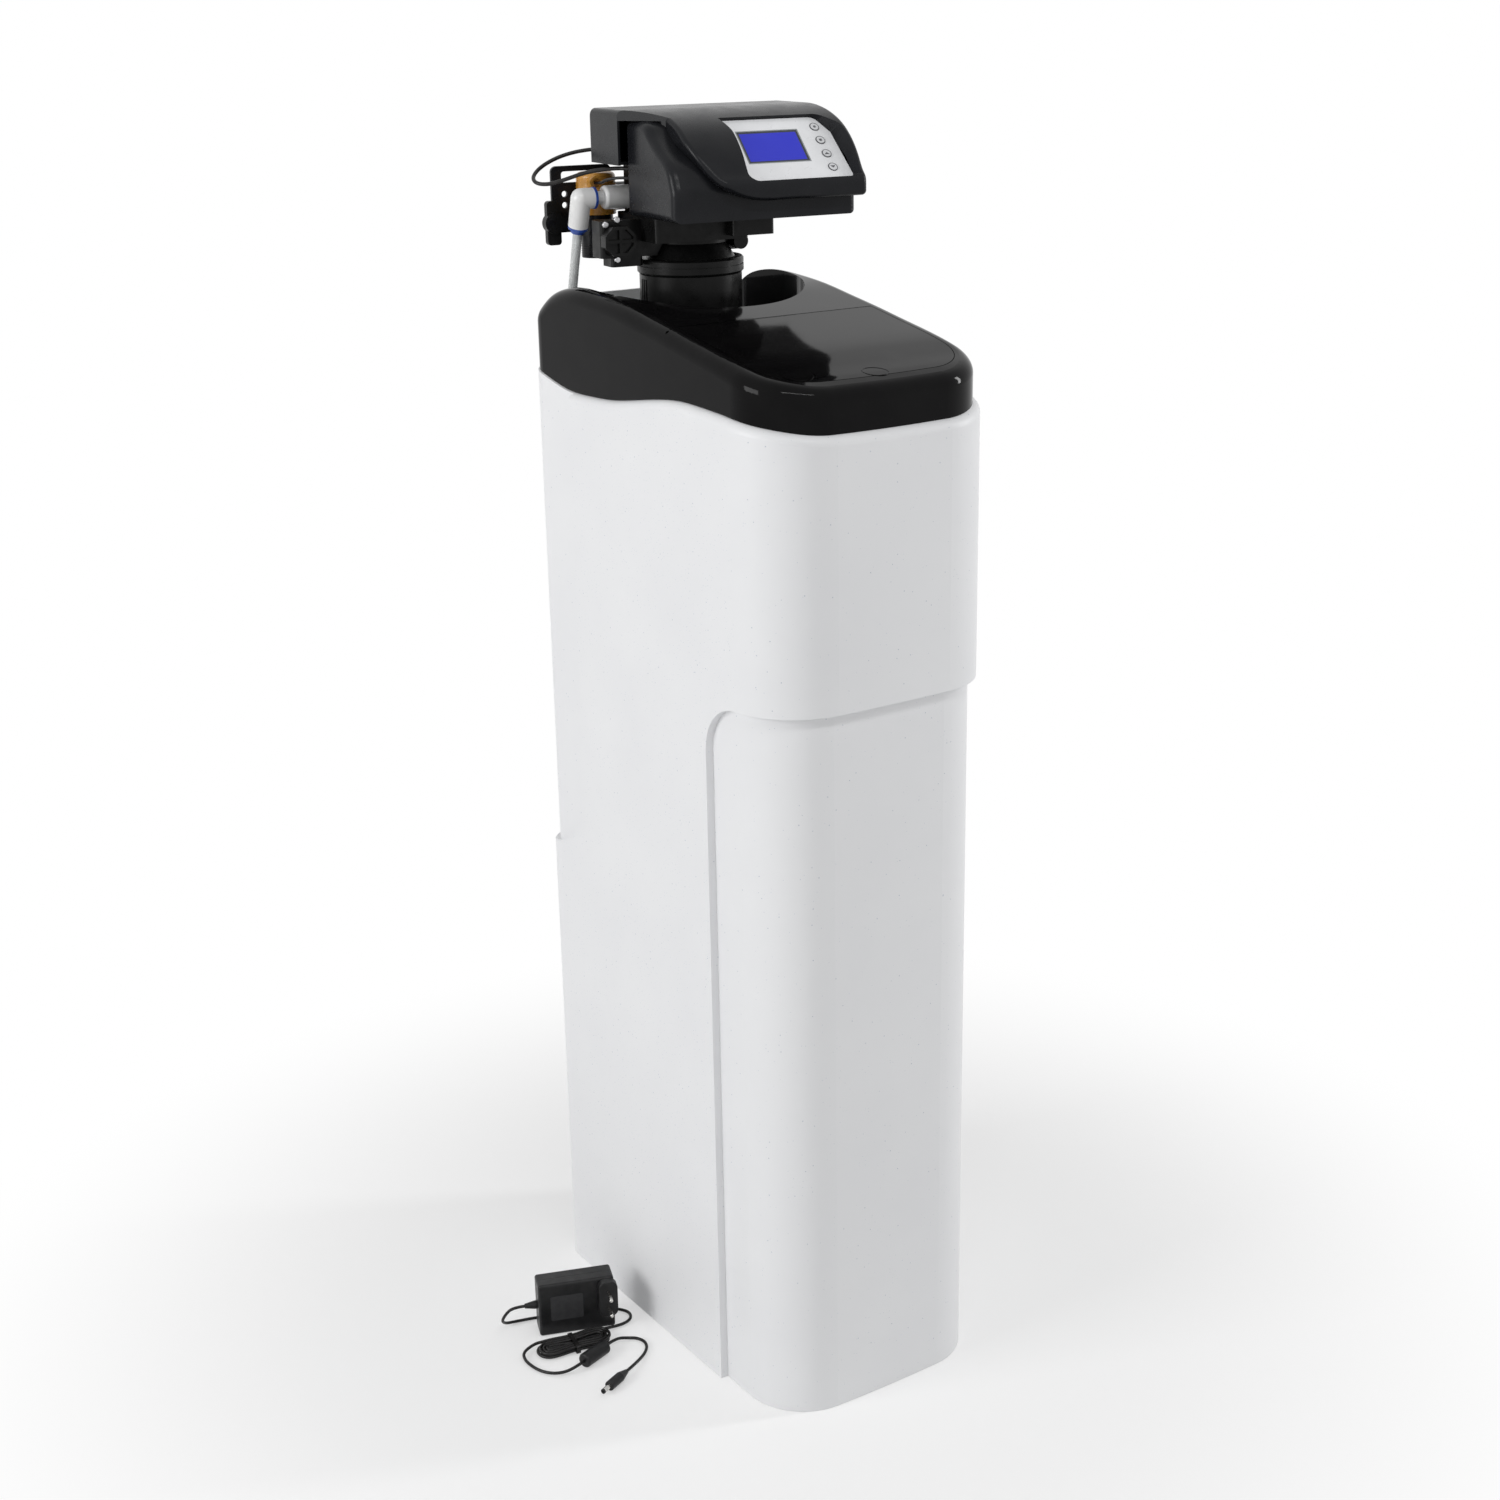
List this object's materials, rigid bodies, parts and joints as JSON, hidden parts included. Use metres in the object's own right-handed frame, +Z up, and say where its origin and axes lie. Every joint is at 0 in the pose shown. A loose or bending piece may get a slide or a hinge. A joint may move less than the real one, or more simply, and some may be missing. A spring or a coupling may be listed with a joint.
{
  "type": "water softener",
  "caption": "Cabinet water softener with a salt bin, pressure tank, metered control head and plug-in adapter.",
  "frame": {"origin": "centre of the cabinet's footprint, on the floor", "axes": "+X to the right seen from the front, -Y out of the front, +Z up"},
  "size_m": [0.4346, 0.4783, 1.2915],
  "materials": {
    "cabinet": "speckled white rotomoulded",
    "cover_black": "semi gloss black",
    "head_black": "satin black",
    "valve_black": "moulded black",
    "lever_black": "moulded black",
    "amber": "translucent amber",
    "white_fitting": "white acetal",
    "blue_collet": "blue",
    "tube_clear": "translucent",
    "panel_silver": "silver",
    "lcd": "lit display",
    "button_grey": "grey",
    "board": "solder mask",
    "gear_white": "acetal",
    "steel": "plain",
    "ceramic": "ground ceramic",
    "tank_shell": "wound fibre",
    "boot_black": "moulded",
    "pipe_grey": "extruded",
    "resin": "granular",
    "cable_grey": "cable sheath",
    "adapter_black": "textured",
    "pin_metal": "nickel",
    "cord_black": "cord"
  },
  "bodies": {
    "cabinet": {"adapter_case_back": "adapter_black", "adapter_case_front": "adapter_black", "adapter_plug_face": "adapter_black", "adapter_plug_pins": "pin_metal", "adapter_strain_relief": "adapter_black", "air_check_pipe": "pipe_grey", "barrel_plug": "adapter_black", "brine_elbow": "white_fitting", "brine_fitting": "white_fitting", "brine_tube": "tube_clear", "brine_well": "pipe_grey", "brine_well_cap": "valve_black", "bypass_bracket": "head_black", "cabinet_body": "cabinet", "control_board": "board", "cord_hank": "cord_black", "cord_lead": "cord_black", "cord_tail": "cord_black", "cord_tie": "cord_black", "cord_wide_loop": "cord_black", "cover": "cover_black", "display_panel": "panel_silver", "drain_fitting": "valve_black", "drive_motor": "steel", "elbow_collets": "blue_collet", "ferrite_core": "adapter_black", "fixed_disc": "ceramic", "float_valve_body": "white_fitting", "flow_meter_body": "amber", "head_base": "head_black", "head_cables": "cable_grey", "head_hood": "head_black", "injector_cap": "valve_black", "injector_screws": "steel", "lcd_window": "lcd", "lid_hinge_pins": "steel", "overflow_elbow": "white_fitting", "plug_barrel": "pin_metal", "port_pipes": "head_black", "pressure_tank": "tank_shell", "resin_bed": "resin", "riser_and_strainers": "pipe_grey", "tank_boot": "boot_black", "tank_neck_ring": "valve_black", "valve_body": "valve_black", "valve_collar": "valve_black"},
    "salt_lid": {"salt_lid": "cover_black"},
    "button_1": {"button_1": "button_grey"},
    "button_2": {"button_2": "button_grey"},
    "button_3": {"button_3": "button_grey"},
    "button_4": {"button_4": "button_grey"},
    "valve_rotor": {"drive_gear": "gear_white", "valve_stem": "steel", "moving_disc": "ceramic"},
    "drive_pinion": {"drive_pinion": "gear_white"},
    "flow_turbine": {"flow_turbine": "white_fitting"},
    "bypass_lever": {"bypass_lever": "lever_black"},
    "float_assembly": {"float_and_rod": "pipe_grey"},
    "air_check_ball": {"air_check_ball": "pipe_grey"}
  },
  "joints": [
    {"name": "lid_hinge", "type": "hinge", "parent": "cabinet", "child": "salt_lid", "pos_m": [0, -0.03893, 1.09718], "axis": [-1, 0, 0], "range_deg": [0, 60]},
    {"name": "button_1_press", "type": "slide", "parent": "cabinet", "child": "button_1", "axis": [0.0873, 0.6815, -0.7266], "range_m": [0, 0.0008], "stiffness_N_per_m": 400},
    {"name": "button_2_press", "type": "slide", "parent": "cabinet", "child": "button_2", "axis": [0.0873, 0.6815, -0.7266], "range_m": [0, 0.0008], "stiffness_N_per_m": 400},
    {"name": "button_3_press", "type": "slide", "parent": "cabinet", "child": "button_3", "axis": [0.0873, 0.6815, -0.7266], "range_m": [0, 0.0008], "stiffness_N_per_m": 400},
    {"name": "button_4_press", "type": "slide", "parent": "cabinet", "child": "button_4", "axis": [0.0873, 0.6815, -0.7266], "range_m": [0, 0.0008], "stiffness_N_per_m": 400},
    {"name": "valve_turn", "type": "hinge", "parent": "cabinet", "child": "valve_rotor", "pos_m": [0.00775, 0.13619, 1.249], "axis": [0, 0, 1], "continuous": true},
    {"name": "pinion_spin", "type": "hinge", "parent": "cabinet", "child": "drive_pinion", "pos_m": [0.04247, 0.13174, 1.249], "axis": [0, 0, 1], "continuous": true},
    {"name": "turbine_spin", "type": "hinge", "parent": "cabinet", "child": "flow_turbine", "pos_m": [-0.06352, 0.19048, 1.2015], "axis": [0, 0, 1], "continuous": true},
    {"name": "lever_turn", "type": "hinge", "parent": "cabinet", "child": "bypass_lever", "pos_m": [-0.10191, 0.21274, 1.1785], "axis": [0.1271, 0.9919, 0], "range_deg": [0, 90]},
    {"name": "float_rise", "type": "slide", "parent": "cabinet", "child": "float_assembly", "axis": [0, 0, 1], "range_m": [0, 0.025]},
    {"name": "ball_lift", "type": "slide", "parent": "cabinet", "child": "air_check_ball", "axis": [0, 0, 1], "range_m": [0, 0.03]}
  ],
  "couplings": [
    {"joint": "pinion_spin", "follows": "valve_turn", "ratio": -4}
  ]
}
